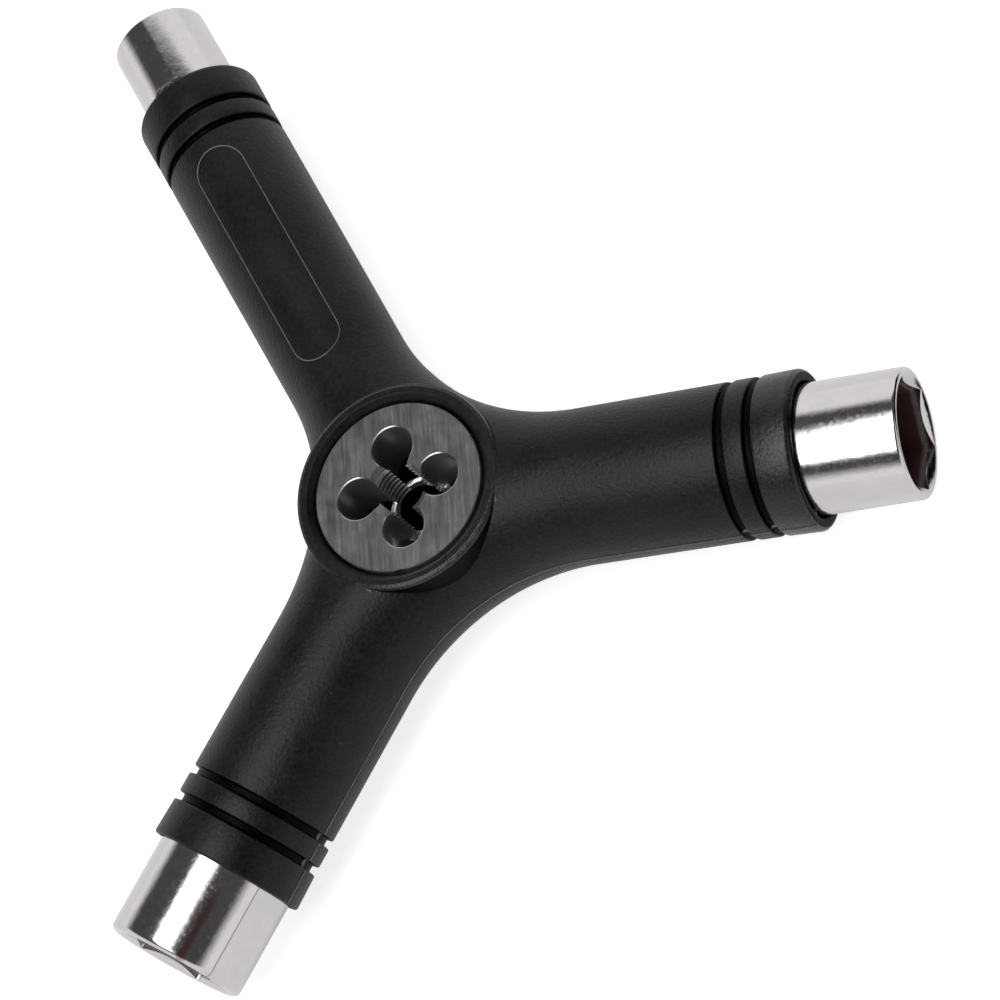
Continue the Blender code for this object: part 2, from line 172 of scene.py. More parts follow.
def strip_faces(rows, count, base=0, closed=False):
    """Quads between rings of count points each. When closed, the last ring joins the first."""
    faces = []
    for i in range(rows if closed else rows - 1):
        here = base + i * count
        beyond = base + (i + 1) % rows * count
        for k in range(count):
            n = (k + 1) % count
            faces.append((here + k, here + n, beyond + n, beyond + k))
    return faces


def lathe(profile, count, closed=False):
    """Points and faces of (radius, height) pairs turned round the hub axis."""
    verts = []
    for r, h in profile:
        for k in range(count):
            w = 2 * math.pi * k / count
            verts.append((r * math.cos(w), r * math.sin(w), h))
    return verts, strip_faces(len(profile), count, closed=closed)


def build(name, verts, faces, smooth_angle=SMOOTH_ANGLE):
    """A smooth mesh object from points in millimetres."""
    bm = bmesh.new()
    made = [bm.verts.new(place(v)) for v in verts]
    for face in faces:
        bm.faces.new([made[i] for i in face])
    bmesh.ops.remove_doubles(bm, verts=bm.verts, dist=MERGE_DISTANCE * MM)
    bmesh.ops.dissolve_degenerate(bm, edges=bm.edges, dist=SHORTEST_EDGE)
    bmesh.ops.recalc_face_normals(bm, faces=bm.faces)
    mesh = bpy.data.meshes.new(name)
    bm.to_mesh(mesh)
    bm.free()
    mesh.shade_smooth()
    mesh.set_sharp_from_angle(angle=math.radians(smooth_angle))
    obj = bpy.data.objects.new(name, mesh)
    bpy.context.scene.collection.objects.link(obj)
    return obj


def finish_piece(obj, slot, nodes, *materials):
    """Give a piece its materials and its body, and hide the CAD nodes that it stands for; the slot is not
    used.
    """
    obj.data.materials.clear()
    for material in materials:
        obj.data.materials.append(material)
    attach(obj, "root")
    if nodes:
        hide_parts(*nodes)


# Arms and their grooves
HALF_RING_STEPS = 48
GROOVE_DRAFT = 0.06
GROOVE_EDGE = 0.22
GROOVE_CORNER = 0.30
COLLAR_EDGE = 0.25
COLLAR_ROUNDING = 1.15
MOUTH_FLARE = 0.10
MOUTH_FLARE_DEPTH = 0.5
MOUTH_EDGE = 0.2
MOUTH_DEPTH = 3.0


def fillet_centre(one, two):
    """Centre of the corner fillet between two neighbouring arms."""
    u, v = axes(one)
    a = angle_between(one, two)
    s = ((two.root + FILLET_RADIUS) + (one.root + FILLET_RADIUS) * math.cos(a)) / math.sin(a)
    return u * s + v * (one.root + FILLET_RADIUS)


def arm_start(arm):
    """Station on an arm from which both of its corner fillets have ended."""
    u, _ = axes(arm)
    k = ARMS.index(arm)
    left = fillet_centre(arm, ARMS[(k + 1) % 3]) @ u
    right = fillet_centre(ARMS[k - 1], arm) @ u
    return max(left, right)


def arm_line(arm):
    """(station, radius) down the outside of an arm and into the mouth that holds its socket."""
    start = arm_start(arm)
    groove = arm.length
    next_groove = groove + GROOVE_WIDTH + BAND_WIDTH
    collar = next_groove + GROOVE_WIDTH
    end = collar_end(arm)
    floor = arm.barrel - GROOVE_DEPTH
    band = (arm.barrel + arm.collar_start_radius) / 2
    mouth = arm.socket_radius + FIT_GAP
    return rounded([
        (start, arm.root, 0),
        ((start + groove) / 2, (arm.root + arm.barrel) / 2, 0),
        (groove, arm.barrel, GROOVE_EDGE),
        (groove + GROOVE_DRAFT, floor, GROOVE_CORNER),
        (groove + GROOVE_WIDTH - GROOVE_DRAFT, floor, GROOVE_CORNER),
        (groove + GROOVE_WIDTH, band, GROOVE_EDGE),
        (next_groove, band, GROOVE_EDGE),
        (next_groove + GROOVE_DRAFT, floor, GROOVE_CORNER),
        (collar - GROOVE_DRAFT, floor, GROOVE_CORNER),
        (collar, arm.collar_start_radius, COLLAR_EDGE),
        (end, arm.collar_radius, COLLAR_ROUNDING),
        (end, mouth + MOUTH_FLARE, COLLAR_EDGE),
        (end - MOUTH_FLARE_DEPTH, mouth, MOUTH_EDGE),
        (end - MOUTH_DEPTH, mouth, 0),
    ])


def half_ring(centre, outward, radius):
    """Points from the top of an arm round its outward side to its underside."""
    w = np.linspace(math.pi / 2, -math.pi / 2, HALF_RING_STEPS + 1)
    return centre + radius * (np.outer(np.cos(w), outward) + np.outer(np.sin(w), UP))


# Thin mould lines on the handle
BEAD_SIDES = 6
PANEL_LOW = 25.9
PANEL_HIGH = 66.9
PANEL_HALF_WIDTH = 3.95
PANEL_END_STEPS = 32
PANEL_STEP = 0.6
PANEL_LINE_RADIUS = 0.10
PARTING_RADIUS = 0.14
FLASH_RADIUS = 0.30
PARTING_SHARES = (0.2, 0.2, 1.0)  # how much of the line each of the three corners has
PARTING_UNEVENNESS = (0.75, 1.25)
GROOVE_SEARCH = 12
GROOVE_NOTICE = 0.4
BURRS = ((71, 82, 0.9), (77, 93, 0.55), (87, 103, 0.85))  # from and to in degrees, and rise
BURR_STEPS = 14
BURR_INSET = 0.35
BURR_SINK = 0.25
BURR_RAGGEDNESS = (0.5, 1.0)
BURR_RADII = (0.10, 0.24)
LINES_SEED = 7


def bead(verts, faces, path, normals, radii, closed=False):
    """Add a thin raised line along a path on a surface, half sunk in it."""
    path, normals = np.array(path), np.array(normals)
    if closed:
        ahead, behind = np.roll(path, -1, axis=0), np.roll(path, 1, axis=0)
    else:
        ahead = np.vstack([path[1:], path[-1:]])
        behind = np.vstack([path[:1], path[:-1]])
    way = ahead - behind
    way /= np.linalg.norm(way, axis=1)[:, None]
    side = np.cross(way, normals)
    base = len(verts)
    for centre, n, s, r in zip(path, normals, side, radii):
        for k in range(BEAD_SIDES):
            w = 2 * math.pi * k / BEAD_SIDES
            verts.append(tuple(centre + r * (n * math.cos(w) + s * math.sin(w))))
    faces += strip_faces(len(path), BEAD_SIDES, base, closed)
    if not closed:
        last = base + (len(path) - 1) * BEAD_SIDES
        faces.append(tuple(base + k for k in range(BEAD_SIDES)))
        faces.append(tuple(last + k for k in reversed(range(BEAD_SIDES))))


def panel_line(verts, faces, arm):
    """Outline of the blank oval panel on the crown of one arm."""
    u, v = axes(arm)
    start = arm_start(arm)
    flat = []
    for end, turn in ((PANEL_HIGH - PANEL_HALF_WIDTH, 0), (PANEL_LOW + PANEL_HALF_WIDTH, math.pi)):
        for k in range(PANEL_END_STEPS + 1):
            w = turn - math.pi / 2 + math.pi * k / PANEL_END_STEPS
            flat.append((end + PANEL_HALF_WIDTH * math.cos(w), PANEL_HALF_WIDTH * math.sin(w)))
    dense = []
    for i, (s0, a0) in enumerate(flat):
        s1, a1 = flat[(i + 1) % len(flat)]
        parts = max(1, int(math.hypot(s1 - s0, a1 - a0) / PANEL_STEP))
        dense += [(s0 + (s1 - s0) * t / parts, a0 + (a1 - a0) * t / parts) for t in range(parts)]
    path, normals = [], []
    for s, a in dense:
        t = min(1.0, max(0.0, (s - start) / (arm.length - start)))
        r = arm.root + (arm.barrel - arm.root) * t
        n = v * math.sin(a / r) + UP * math.cos(a / r)
        path.append(u * s + n * r)
        normals.append(n)
    bead(verts, faces, path, normals, [PANEL_LINE_RADIUS] * len(path), closed=True)


def parting_lines(verts, faces, edges, rng):
    """The mould's parting line round each corner, heavier where it crosses a groove."""
    for line, share in zip(edges, PARTING_SHARES):
        path = [point for point, _ in line]
        reach = [np.linalg.norm(out) for _, out in line]
        normals = [out / far for (_, out), far in zip(line, reach)]
        radii = []
        for i, far in enumerate(reach):
            around = reach[max(0, i - GROOVE_SEARCH):i + GROOVE_SEARCH]
            grooved = far < max(around) - GROOVE_NOTICE
            radius = FLASH_RADIUS if grooved else PARTING_RADIUS
            radii.append(radius * share * rng.uniform(*PARTING_UNEVENNESS))
        bead(verts, faces, path, normals, radii)


def burrs(verts, faces, arm, rng):
    """Ragged flash where the collar meets its socket."""
    u, v = axes(arm)
    for low, high, rise in BURRS:
        path, normals, radii = [], [], []
        for k in range(BURR_STEPS + 1):
            w = math.radians(low + (high - low) * k / BURR_STEPS)
            n = v * math.cos(w) + UP * math.sin(w)
            lift = rise * math.sin(math.pi * k / BURR_STEPS) * rng.uniform(*BURR_RAGGEDNESS)
            station = collar_end(arm) - BURR_INSET + lift
            path.append(u * station + n * (arm.collar_radius - BURR_SINK))
            normals.append(n)
            radii.append(rng.uniform(*BURR_RADII))
        bead(verts, faces, path, normals, radii)


def mould_lines(edges):
    """The parting line, the outline of the panel and the flash, as one thin piece."""
    verts, faces = [], []
    rng = np.random.default_rng(LINES_SEED)
    parting_lines(verts, faces, edges, rng)
    panel_line(verts, faces, UPPER_ARM)
    burrs(verts, faces, UPPER_ARM, rng)
    return build("mould_lines", verts, faces)


# Handle moulding
WEB_STEPS = 66
RING_SIDES = 240
RING_OVERLAP = 0.3
SHOULDER_WIDTH = 2.1
# Corners of the ring's rim, each with its inset, its depth below the top and its rounding.
# The lip's insets go out from the pocket's wall, and the edge's go in from the ring's side.
LIP_CORNERS = ((0, 1.15, 0.5), (0.88, 0, 0.08), (1.12, 0.11, 0.08))
EDGE_CORNERS = ((0.66, 0.11, 0.3), (0.10, 0.38, 0.2), (0, 0.85, 0.3))
BACK_OUTER_ROUNDING = 0.5
BACK_LIP = 0.3
BACK_LIP_ROUNDING = 0.12
SHOULDER_ROUNDING = 0.2


def corner_rows(one, two):
    """Half rings from the end of one arm in, round the fillet and out to the end of the next."""
    u1, v1 = axes(one)
    u2, v2 = axes(two)
    rows = [half_ring(u1 * s, v1, r) for s, r in reversed(arm_line(one))]
    first = len(rows)
    centre = fillet_centre(one, two)
    sweep = math.pi - angle_between(one, two)
    for i in range(WEB_STEPS + 1):
        t = i / WEB_STEPS
        ease = t * t * (3 - 2 * t)
        r = one.root + (two.root - one.root) * ease
        a = math.radians(one.angle) - math.pi / 2 - sweep * t
        inward = np.array([math.cos(a), math.sin(a), 0.0])
        rows.append(half_ring(centre + inward * (FILLET_RADIUS + r), -inward, r))
    last = len(rows) - 1
    rows += [half_ring(u2 * s, -v2, r) for s, r in arm_line(two)]
    return rows, first, last


def under_ring(verts, quad, radius):
    """Whether a face lies wholly inside the wall of the hub's ring."""
    return max(math.hypot(*verts[q][:2]) for q in quad) < radius - RING_OVERLAP


def ring_profile():
    """Closed section of the hub's ring with the die's pocket, its shoulder and the open back."""
    floor = DIE_BACK - FIT_GAP
    bore = DIE_RADIUS + FIT_GAP
    back = bore - SHOULDER_WIDTH
    lip = [(bore + inset, HUB_HALF_HEIGHT - depth, radius) for inset, depth, radius in LIP_CORNERS]
    edge = [(HUB_RADIUS - inset, HUB_HALF_HEIGHT - depth, radius) for inset, depth, radius in EDGE_CORNERS]
    return rounded([
        (bore, floor, 0), *lip, *edge, (HUB_RADIUS, 0, 0), (BACK_RIM_RADIUS, 0, 0),
        (BACK_RIM_RADIUS, -HUB_HALF_HEIGHT, BACK_OUTER_ROUNDING),
        (back + BACK_LIP, -HUB_HALF_HEIGHT, BACK_LIP_ROUNDING),
        (back, -HUB_HALF_HEIGHT + BACK_LIP, BACK_LIP_ROUNDING),
        (back, floor, SHOULDER_ROUNDING), (bore, floor, 0),
    ])[:-1]


def moulding():
    """The handle's points and faces, and the parting line as (point, way out) pairs."""
    verts, faces, arcs, edges = [], [], [], []
    half = HALF_RING_STEPS // 2
    count = HALF_RING_STEPS + 1
    for k in range(3):
        rows, first, last = corner_rows(ARMS[k], ARMS[(k + 1) % 3])
        edges.append([(row[half], row[half] - (row[0] + row[-1]) / 2) for row in rows])
        base = len(verts)
        for row in rows:
            verts.extend(map(tuple, row))
        for i in range(len(rows) - 1):
            near_hub = first - 1 <= i <= last
            for j in range(HALF_RING_STEPS):
                at = base + i * count + j
                quad = (at, at + 1, at + count + 1, at + count)
                wall = HUB_RADIUS if j < half else BACK_RIM_RADIUS
                if not (near_hub and under_ring(verts, quad, wall)):
                    faces.append(quad)
        middle_rows = range(first, last + 1)
        arcs.append([[base + i * count + j for i in middle_rows] for j in (0, HALF_RING_STEPS)])
    for k in range(3):
        for side, wall in enumerate((HUB_RADIUS, BACK_RIM_RADIUS)):
            left = arcs[k][side]
            right = arcs[k - 1][side][::-1]
            for i in range(WEB_STEPS // 2):
                quad = (left[i], left[i + 1], right[i + 1], right[i])
                if under_ring(verts, quad, wall):
                    break
                faces.append(quad)
    ring_verts, ring_faces = lathe(ring_profile(), RING_SIDES, closed=True)
    base = len(verts)
    verts += ring_verts
    faces += [tuple(base + i for i in face) for face in ring_faces]
    return verts, faces, edges


# Sockets
SOCKET_SIDES = 240
SOCKET_SMOOTH_ANGLE = 24
END_ROUNDING_STEPS = 8
SEAT_DEPTH = 2.8
MOUTH_MARGIN = 0.12
RIM_BREAK = (0.05, 0.02)  # inset and depth of the broken edge at the mouth
MOUTH_SLOPE = 0.68
HEX_CORNER_RELIEF = 0.05
HEX_EDGE = (0.06, 0.03, 0.05)  # inset, rise above and drop below the chamfer's foot
HEX_FLOOR = 1.7
BORE_RELIEF = 1.6
BORE_TOP = 1.1
BORE_DEPTH = 20.8
BORE_POINT = (0.3, 0.5)  # radius and height of the cone at the bore's bottom
LEAN_START = 3.0
LEAN_EASE = 2.0
LEAN_WAY = 58.5


def socket_rows(arm, w):
    """Rows of radii and stations round the socket, from its seat out and down its bore."""
    flats, corner = arm.across_flats, arm.across_flats / 2 / math.cos(math.pi / 6)
    mouth = corner + MOUTH_MARGIN
    bore = flats / 2 - BORE_RELIEF
    inner = collar_end(arm) - BORE_DEPTH
    rounding = arm.end_rounding
    outside = [(collar_end(arm) - SEAT_DEPTH, arm.socket_radius)]
    for k in range(END_ROUNDING_STEPS + 1):
        a = math.pi / 2 * k / END_ROUNDING_STEPS
        station = arm.reach - rounding * (1 - math.sin(a))
        outside.append((station, arm.socket_radius - rounding * (1 - math.cos(a))))
    outside.append((arm.reach, mouth))
    outside.append((arm.reach - RIM_BREAK[1], mouth - RIM_BREAK[0]))
    off_corner = (w - math.radians(arm.hex_turn) + math.pi / 6) % (math.pi / 3) - math.pi / 6
    off_flat = math.pi / 6 - np.abs(off_corner)
    hexagon = np.minimum(flats / 2 / np.cos(off_flat), corner - HEX_CORNER_RELIEF)
    chamfer = arm.reach - (mouth - hexagon) * MOUTH_SLOPE
    inset, rise, drop = HEX_EDGE
    point_radius, point_height = BORE_POINT
    full = np.ones(len(w))
    rows = [(radius * full, station * full) for station, radius in outside]
    rows += [
        (hexagon + inset, chamfer + rise),
        (hexagon, chamfer - drop),
        (hexagon, (collar_end(arm) + HEX_FLOOR) * full),
        (bore * full, (collar_end(arm) + BORE_TOP) * full),
        (bore * full, (inner + point_height) * full),
        (point_radius * full, inner * full),
    ]
    return rows


def socket(arm):
    """Turned outside, flat rim, chamfered mouth, hexagon and round bore."""
    u, v = axes(arm)
    w = np.arange(SOCKET_SIDES) * 2 * math.pi / SOCKET_SIDES
    rows = socket_rows(arm, w)
    verts = []
    for radii, stations in rows:
        # The end may be a little out of square, which fades out away from it
        near_end = np.clip((stations - arm.reach + LEAN_START) / LEAN_EASE, 0, 1)
        tilt = arm.socket_radius + radii * np.cos(w - math.radians(LEAN_WAY))
        stations = stations - arm.lean * near_end * tilt
        points = np.outer(stations, u) + np.outer(radii * np.cos(w), v) + np.outer(radii * np.sin(w), UP)
        verts.extend(map(tuple, points))
    faces = strip_faces(len(rows), SOCKET_SIDES)
    last = (len(rows) - 1) * SOCKET_SIDES
    faces.append(tuple(range(last, last + SOCKET_SIDES)))
    return build(arm.name + "_steel", verts, faces, SOCKET_SMOOTH_ANGLE)


# Die, cut like the real one
DIE_SIDES = 240
DIE_SMOOTH_ANGLE = 18
DIE_CHAMFER = 0.12
CUT_OVERRUN = 2
HOLE_SIDES = 96
THREAD_PITCH = 1.058
THREAD_MINOR_RADIUS = 3.47
THREAD_MAJOR_RADIUS = 3.97
THREAD_STEPS_PER_TURN = 64
THREAD_EXTRA_TURNS = 3
THREAD_OVERLAP = 0.25  # how far the ridge starts inside the bore
THREAD_HALF_FLAT = 0.07
THREAD_CUT_DEPTH = 0.75
LEAD_IN_RADIUS = 4.70
LEAD_IN_DEPTH = 1.0
CHIP_HOLE_COUNT = 4
CHIP_HOLE_TURN = 8.5
CHIP_HOLE_PITCH_RADIUS = 6.2
CHIP_HOLE_RADIUS = 3.15
CHIP_HOLE_TOP_EDGE = (3.31, 0.075)  # radius and depth of the broken edge
CHIP_HOLE_BACK_EDGE = (3.23, 0.08)
DIMPLE_SIDES = 32
DIMPLE_ANGLE = -87.5
DIMPLE_RADIUS = 1.3
DIMPLE_DEPTH = 0.9
DIMPLE_INSET = 1.1
DIMPLE_AXIS = 0.001
BAND_SIDES = 160
# Closed section of the bright band at the bottom of the bore, as (radius, height) points
BAND_SECTION = (
    (3.45, 1.90), (4.40, 1.50), (4.62, 1.56), (4.78, 1.66),
    (4.95, 1.66), (5.08, 1.50), (5.10, 1.05), (3.55, 1.02),
)


def thread_tool():
    """Closed V-shaped ridge wound up the bore."""
    rows = int((DIE_THICKNESS / THREAD_PITCH + THREAD_EXTRA_TURNS) * THREAD_STEPS_PER_TURN)
    half_base = THREAD_HALF_FLAT + THREAD_CUT_DEPTH * math.tan(math.radians(30))
    foot = THREAD_MINOR_RADIUS - THREAD_OVERLAP
    section = [
        (foot, -half_base), (THREAD_MAJOR_RADIUS, -THREAD_HALF_FLAT),
        (THREAD_MAJOR_RADIUS, THREAD_HALF_FLAT), (foot, half_base),
    ]
    verts = []
    low = DIE_BACK - THREAD_PITCH
    for i in range(rows):
        w = 2 * math.pi * i / THREAD_STEPS_PER_TURN
        for r, h in section:
            height = low + h + THREAD_PITCH * i / THREAD_STEPS_PER_TURN
            verts.append((r * math.cos(w), r * math.sin(w), height))
    faces = strip_faces(rows, len(section))
    faces.append((0, 1, 2, 3))
    end = len(section) * (rows - 1)
    faces.append((end, end + 3, end + 2, end + 1))
    return build("thread_tool", verts, faces)


def hole_tool(name, middle):
    """A turned cutter that runs past both faces of the die, with the given points between them."""
    high, low = DIE_FACE + CUT_OVERRUN, DIE_BACK - CUT_OVERRUN
    profile = [(AXIS, high), (middle[0][0], high), *middle, (middle[-1][0], low), (AXIS, low)]
    return build(name, *lathe(profile, HOLE_SIDES))


def chip_tool(k):
    """The cutter for one chip hole, with a broken edge at both faces."""
    top_radius, top_depth = CHIP_HOLE_TOP_EDGE
    back_radius, back_depth = CHIP_HOLE_BACK_EDGE
    tool = hole_tool("chip_tool", [
        (top_radius, DIE_FACE), (CHIP_HOLE_RADIUS, DIE_FACE - top_depth),
        (CHIP_HOLE_RADIUS, DIE_BACK + back_depth), (back_radius, DIE_BACK),
    ])
    w = math.radians(CHIP_HOLE_TURN + 360 / CHIP_HOLE_COUNT * k)
    r = CHIP_HOLE_PITCH_RADIUS
    tool.location = Vector((r * math.cos(w), r * math.sin(w), 0)) * MM
    return tool


def dimple_tool():
    """The cutter for the screw's dimple in the die's edge."""
    w = math.radians(DIMPLE_ANGLE)
    profile = [
        (DIMPLE_AXIS, DIMPLE_DEPTH), (DIMPLE_RADIUS, 0),
        (DIMPLE_RADIUS, -CUT_OVERRUN), (DIMPLE_AXIS, -CUT_OVERRUN),
    ]
    verts, faces = lathe(profile, DIMPLE_SIDES)
    out = Vector((math.cos(w), math.sin(w), 0))
    turn = Vector((0, 0, 1)).rotation_difference(-out).to_matrix()
    centre = out * DIE_RADIUS + Vector((0, 0, DIE_FACE - DIMPLE_INSET))
    return build("dimple_tool", [tuple(turn @ Vector(p) + centre) for p in verts], faces)


def carve(target, tools):
    """Cut the tools out of a piece and remove them."""
    for tool in tools:
        cut = target.modifiers.new("cut", "BOOLEAN")
        cut.operation = "DIFFERENCE"
        cut.object = tool
        cut.solver = "EXACT"
    bpy.context.view_layer.update()
    graph = bpy.context.evaluated_depsgraph_get()
    mesh = bpy.data.meshes.new_from_object(target.evaluated_get(graph))
    target.modifiers.clear()
    target.data = mesh
    for tool in tools:
        bpy.data.objects.remove(tool, do_unlink=True)


def die():
    """Round body with the thread, four chip holes, the dimple and the bright band."""
    body = build("die_steel", *lathe([
        (AXIS, DIE_FACE), (DIE_RADIUS - DIE_CHAMFER, DIE_FACE), (DIE_RADIUS, DIE_FACE - DIE_CHAMFER),
        (DIE_RADIUS, DIE_BACK + DIE_CHAMFER), (DIE_RADIUS - DIE_CHAMFER, DIE_BACK), (AXIS, DIE_BACK),
    ], DIE_SIDES))
    bore = hole_tool("bore_tool", [
        (LEAD_IN_RADIUS, DIE_FACE), (THREAD_MINOR_RADIUS, DIE_FACE - LEAD_IN_DEPTH),
        (THREAD_MINOR_RADIUS, DIE_BACK + LEAD_IN_DEPTH), (LEAD_IN_RADIUS, DIE_BACK),
    ])
    chip_tools = [chip_tool(k) for k in range(CHIP_HOLE_COUNT)]
    carve(body, [bore, thread_tool(), *chip_tools, dimple_tool()])
    band = build("bottom_band", *lathe(BAND_SECTION, BAND_SIDES, closed=True))
    whole = bmesh.new()
    whole.from_mesh(body.data)
    whole.from_mesh(band.data)
    whole.to_mesh(body.data)
    whole.free()
    bpy.data.objects.remove(band, do_unlink=True)
    body.data.shade_smooth()
    body.data.set_sharp_from_angle(angle=math.radians(DIE_SMOOTH_ANGLE))
    return body


# Node helpers
class Nodes:
    """Short ways to add nodes to a tree. A value is a number, a colour or a node's output."""

    def __init__(self, tree):
        self.tree = tree
        self.link = tree.links.new

    def add(self, kind, **values):
        """A new node, with its inputs and settings given by name."""
        made = self.tree.nodes.new(kind)
        for key, value in values.items():
            if key in made.inputs.keys():
                made.inputs[key].default_value = value
            else:
                setattr(made, key, value)
        return made

    def feed(self, value, socket):
        if isinstance(value, tuple):
            socket.default_value = (*value, 1)
        elif isinstance(value, (int, float)):
            socket.default_value = value
        else:
            self.link(value, socket)

    def calc(self, operation, a, b=0.0, clamp=False):
        made = self.add("ShaderNodeMath", operation=operation, use_clamp=clamp)
        self.feed(a, made.inputs[0])
        self.feed(b, made.inputs[1])
        return made.outputs[0]

    def plus(self, a, b, clamp=False):
        return self.calc("ADD", a, b, clamp)

    def minus(self, a, b):
        return self.calc("SUBTRACT", a, b)

    def times(self, a, b, clamp=False):
        return self.calc("MULTIPLY", a, b, clamp)

    def step(self, x, low, high):
        """0 at low, 1 at high, with a straight slope between them and no change outside."""
        return self.times(self.minus(x, low), 1 / (high - low), clamp=True)

    def window(self, x, rise, fall):
        """1 between a rise and a fall, each given by where it is 0 and where it is 1."""
        return self.times(self.step(x, *rise), self.step(x, *fall))

    def weighted(self, *pairs):
        """Sum of outputs times their weights."""
        result = None
        for value, weight in pairs:
            part = self.times(value, weight)
            result = part if result is None else self.plus(result, part)
        return result

    def away(self, x, middle):
        """Distance of a value from a middle."""
        return self.calc("ABSOLUTE", self.minus(x, middle))

    def length(self, x, y):
        return self.calc("SQRT", self.plus(self.times(x, x), self.times(y, y)))

    def split(self, vector):
        made = self.add("ShaderNodeSeparateXYZ")
        self.link(vector, made.inputs[0])
        return made.outputs

    def coordinate(self, kind="Object"):
        return self.add("ShaderNodeTexCoord").outputs[kind]

    def from_hub(self):
        """Millimetres from the hub's centre, as three outputs."""
        parts = self.split(self.coordinate())
        return [self.times(self.minus(part, middle), 1 / MM) for part, middle in zip(parts, HUB)]

    def noise(self, spot, scale, detail, roughness):
        made = self.add("ShaderNodeTexNoise", Scale=scale, Detail=detail, Roughness=roughness)
        self.link(spot, made.inputs["Vector"])
        return made.outputs["Fac"]

    def mapped(self, vector, **settings):
        made = self.add("ShaderNodeMapping", **settings)
        self.link(vector, made.inputs["Vector"])
        return made.outputs[0]

    def ramp(self, source, *stops):
        """Colours, or greys given as one number, at (position, colour) stops."""
        made = self.add("ShaderNodeValToRGB")
        items = made.color_ramp.elements
        while len(items) < len(stops):
            items.new(0.5)
        for item, (position, colour) in zip(items, stops):
            item.position = position
            item.color = (*colour, 1) if isinstance(colour, tuple) else (colour, colour, colour, 1)
        self.link(source, made.inputs[0])
        return made.outputs["Color"]

    def blend(self, factor, one, two):
        """Mix of two colours."""
        made = self.add("ShaderNodeMix", data_type="RGBA")
        self.link(factor, made.inputs[0])
        self.feed(one, made.inputs[6])
        self.feed(two, made.inputs[7])
        return made.outputs[2]

    def blend_numbers(self, factor, one, two):
        """Mix of two numbers."""
        made = self.add("ShaderNodeMix", data_type="FLOAT")
        self.link(factor, made.inputs[0])
        self.feed(one, made.inputs[2])
        self.feed(two, made.inputs[3])
        return made.outputs[0]

    def bump(self, inputs, height, strength, distance):
        """Raise a shader's surface by a height, with the distance in metres."""
        made = self.add("ShaderNodeBump", Strength=strength, Distance=distance)
        self.link(height, made.inputs["Height"])
        self.link(made.outputs["Normal"], inputs["Normal"])


def shader(name):
    """A new material, its shader's inputs and its node helper."""
    material = bpy.data.materials.new(name)
    material.use_nodes = True
    tree = material.node_tree
    return material, tree.nodes["Principled BSDF"].inputs, Nodes(tree)


# Plastic
CLOUD = (0.40, 0.60)  # the range that the mixed noise keeps to
SPECKS = (0.68, 0.84)
SPECK_GAIN = 4


def plastic(name, dark=0.0008, light=0.0104, specular=0.235, rough=(0.33, 0.43)):
    """Black plastic with cloudy gloss, fine grain and specks of dust."""
    material, inputs, n = shader(name)
    spot = n.coordinate()
    cloud = n.noise(spot, scale=130, detail=5, roughness=0.6)
    fine = n.noise(spot, scale=1500, detail=3, roughness=0.6)
    grain = n.noise(spot, scale=2600, detail=3, roughness=0.7)
    dust = n.noise(spot, scale=2100, detail=2, roughness=0.5)
    mixed = n.weighted((cloud, 0.3), (fine, 0.3), (grain, 0.4))
    low, high = CLOUD
    base = n.ramp(mixed, (low, dark), (high, light))
    specks = n.ramp(dust, (SPECKS[0], 0.0), (SPECKS[1], 1.0))
    speck = min(1.0, light * SPECK_GAIN)
    n.link(n.blend(specks, base, (speck, speck, speck)), inputs["Base Color"])
    n.link(n.ramp(mixed, (low, rough[0]), (high, rough[1])), inputs["Roughness"])
    inputs["Specular IOR Level"].default_value = specular
    n.bump(inputs, n.plus(fine, grain), strength=0.7, distance=0.00010)
    return material


# Chrome
CHROME_TINTS = ((0.665, 0.640, 0.652), (0.70, 0.665, 0.682))
INSIDE_COLOUR = (0.078, 0.030, 0.028)
INSIDE_ROUGHNESS = 0.5
INSIDE_EDGE = (0.10, 0.03)  # past the hexagon's corners: where the dark inside ends and is full
INSIDE_DEPTH = (0.8, 2.0)  # below the socket's end: where the dark inside starts and is full
STAIN_COLOUR = (0.52, 0.30, 0.30)
STAIN_ANGLE = 56.5
STAIN_WIDTH = (4.5, 1.5)
STAIN_START = (60.5, 64.0)
STAIN_RAGGEDNESS = 9.0
# A thin grey-brown painted reflection line on the lower arm's socket
REFLECTION_LINE_COLOUR = (0.36, 0.31, 0.29)
REFLECTION_LINE_ANGLE = 27.8
REFLECTION_LINE_WIDTH = (1.1, 0.5)
REFLECTION_LINE_STRENGTH = 0.8


